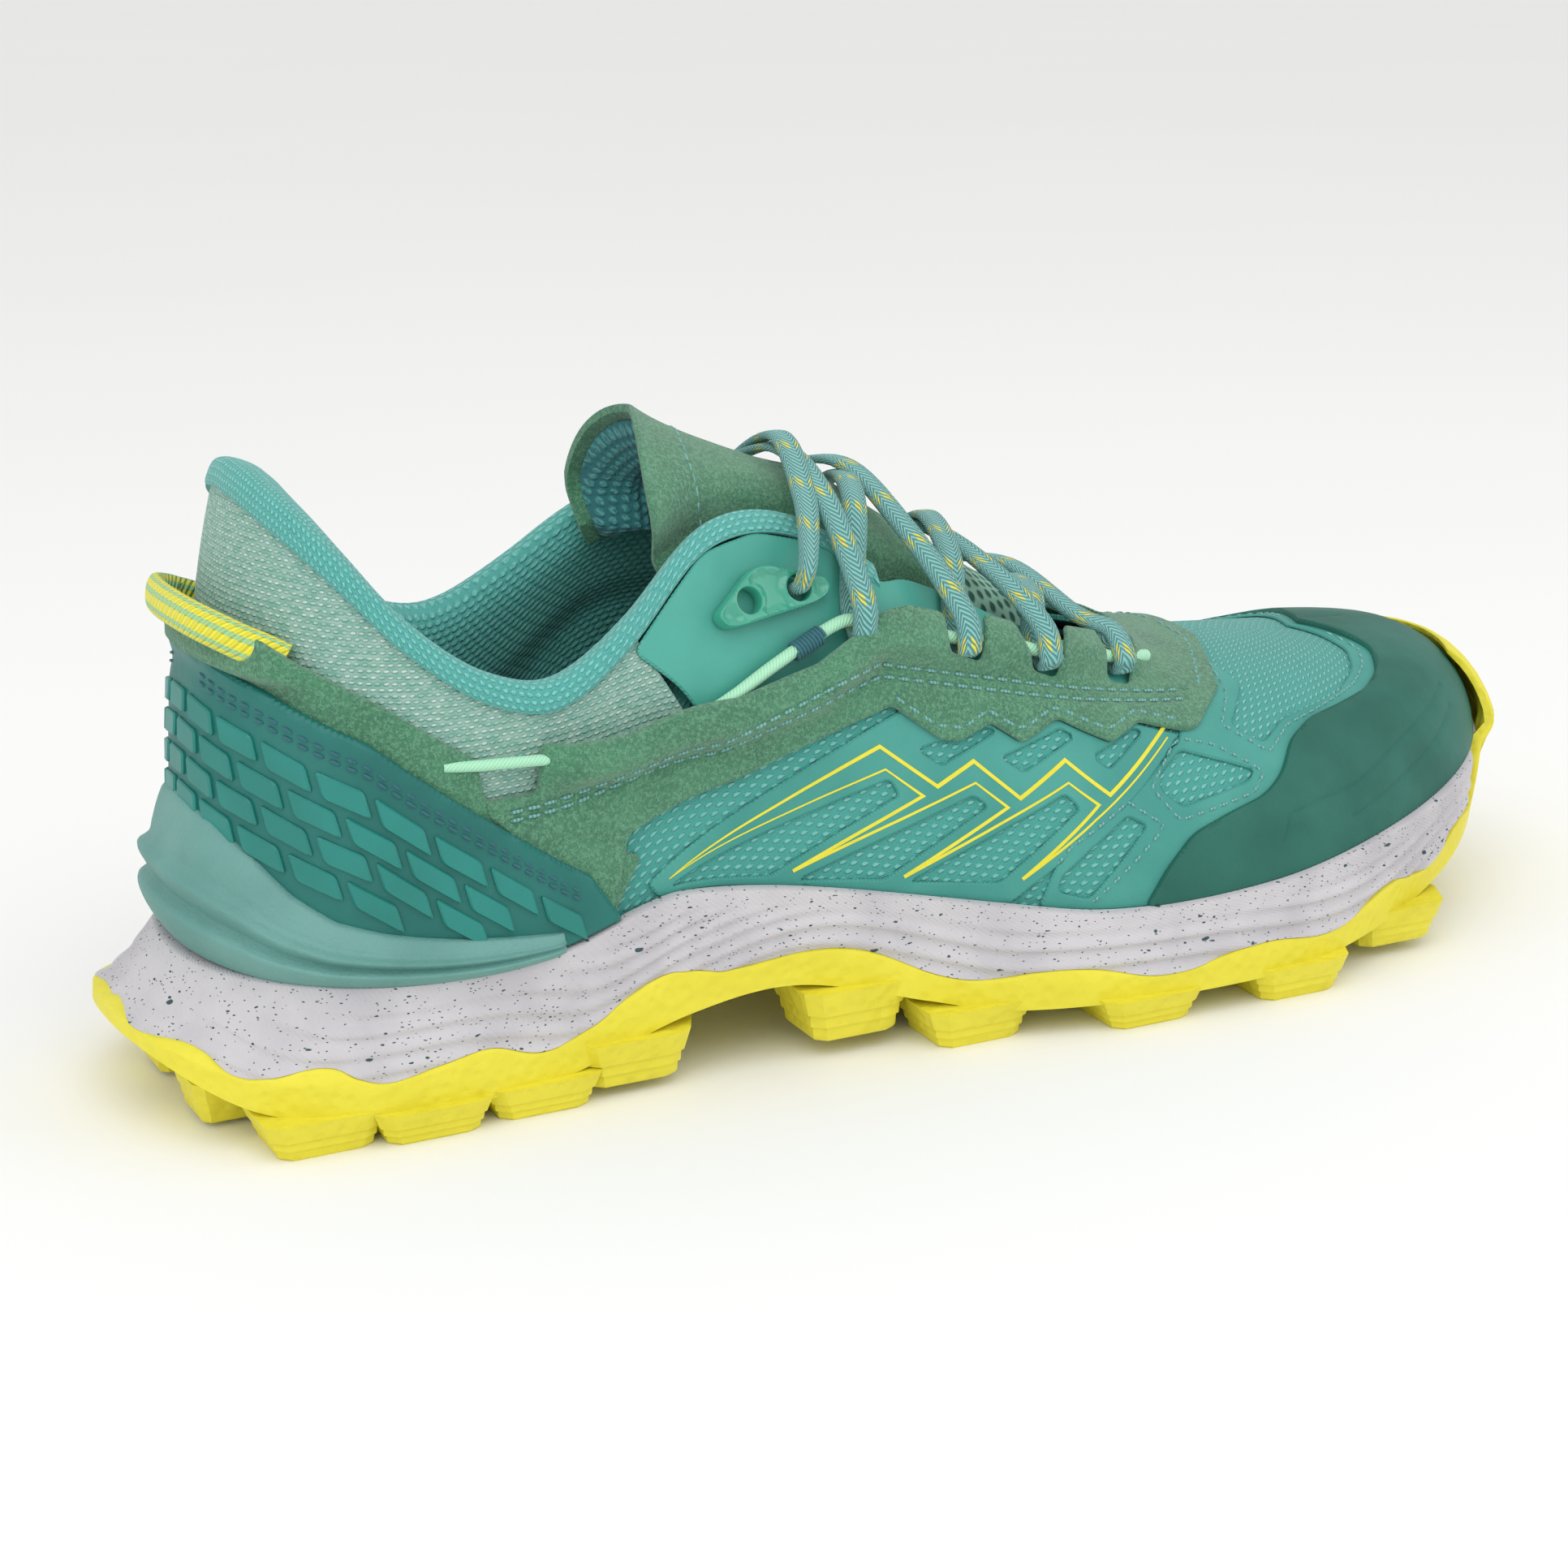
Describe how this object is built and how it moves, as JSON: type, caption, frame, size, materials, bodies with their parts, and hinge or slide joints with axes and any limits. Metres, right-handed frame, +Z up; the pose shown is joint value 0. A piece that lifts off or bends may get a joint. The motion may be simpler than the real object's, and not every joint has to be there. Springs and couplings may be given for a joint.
{
  "type": "trail running shoe",
  "caption": "Low trail running shoe for the right foot with a lugged rubber sole, foam midsole, padded collar, padded tongue and a flat lace round two side cords.",
  "frame": {"origin": "middle of the shoe's footprint at the ground, under the lugs", "axes": "+X to the toe, -Y to the lateral (outer) side, +Z up"},
  "size_m": [0.2885, 0.102, 0.1112],
  "materials": {
    "outsole_rubber": "matte tread rubber with a fine pebble grain",
    "midsole_foam": "matte moulded foam with dark flecks",
    "cradle_tpu": "satin moulded plastic, fine grain",
    "board": "non-woven board",
    "footbed": "dark knitted top cloth on foam",
    "stiffener": "thin moulded sheet",
    "foam": "open-cell foam",
    "vamp_lining": "knitted lining",
    "collar_lining": "brushed knitted lining",
    "collar_knit": "heather knit",
    "upper_mesh": "engineered mesh",
    "film": "thin satin film welded to the mesh",
    "toe_film": "rubberised film",
    "suede": "brushed suede",
    "counter_tpu": "satin moulded plastic",
    "facing": "smooth synthetic leather",
    "eyelet_plastic": "glossy moulded plastic",
    "mint_cord": "braided cord",
    "thread": "wound thread",
    "lace": "herringbone braid with yellow flecks",
    "aglet": "shrunk film tip",
    "tongue_mesh": "open heather mesh",
    "tongue_lining": "soft lining cloth",
    "rope": "braided flat rope"
  },
  "bodies": {
    "root": {"outsole": "outsole_rubber", "midsole": "midsole_foam", "heel_cradle": "cradle_tpu", "strobel_board": "board", "heel_stiffener": "stiffener", "toe_puff": "stiffener", "vamp_lining": "vamp_lining", "collar_lining": "collar_lining", "collar_padding": "foam", "collar_knit": "collar_knit", "mesh_upper": "upper_mesh", "film_overlay_lateral": "film", "film_overlay_medial": "film", "forefoot_overlay": "film", "toe_cap": "toe_film", "suede_eyestay": "suede", "suede_heel_band": "suede", "counter_overlay": "counter_tpu", "ankle_facing_lateral": "facing", "ankle_facing_medial": "facing", "eyelet_plate_lateral": "eyelet_plastic", "eyelet_plate_medial": "eyelet_plastic", "lace_cord_lateral": "mint_cord", "lace_cord_medial": "mint_cord", "cord_whipping_lateral": "thread", "cord_whipping_medial": "thread", "lace": "lace", "aglets": "aglet"},
    "tongue": {"tongue_suede": "suede", "tongue_mesh": "tongue_mesh", "tongue_padding": "foam", "tongue_lining": "tongue_lining"},
    "insole": {"insole": "footbed"},
    "pull_loop": {"pull_loop": "rope"}
  },
  "joints": [
    {"name": "tongue_fold", "type": "hinge", "parent": "root", "child": "tongue", "pos_m": [0.056, 0.0023, 0.049], "axis": [0, -1, 0], "range_deg": [0, 8], "stiffness_Nm_per_rad": 0.15, "springref_deg": -14.32},
    {"name": "insole_lift", "type": "hinge", "parent": "root", "child": "insole", "pos_m": [0.131, 0.011, 0.0275], "axis": [0, 1, 0], "range_deg": [0, 4]},
    {"name": "pull_loop_swing", "type": "hinge", "parent": "root", "child": "pull_loop", "pos_m": [-0.1198, 0.0018, 0.081], "axis": [0, 1, 0], "range_deg": [-20, 10], "stiffness_Nm_per_rad": 0.003}
  ]
}
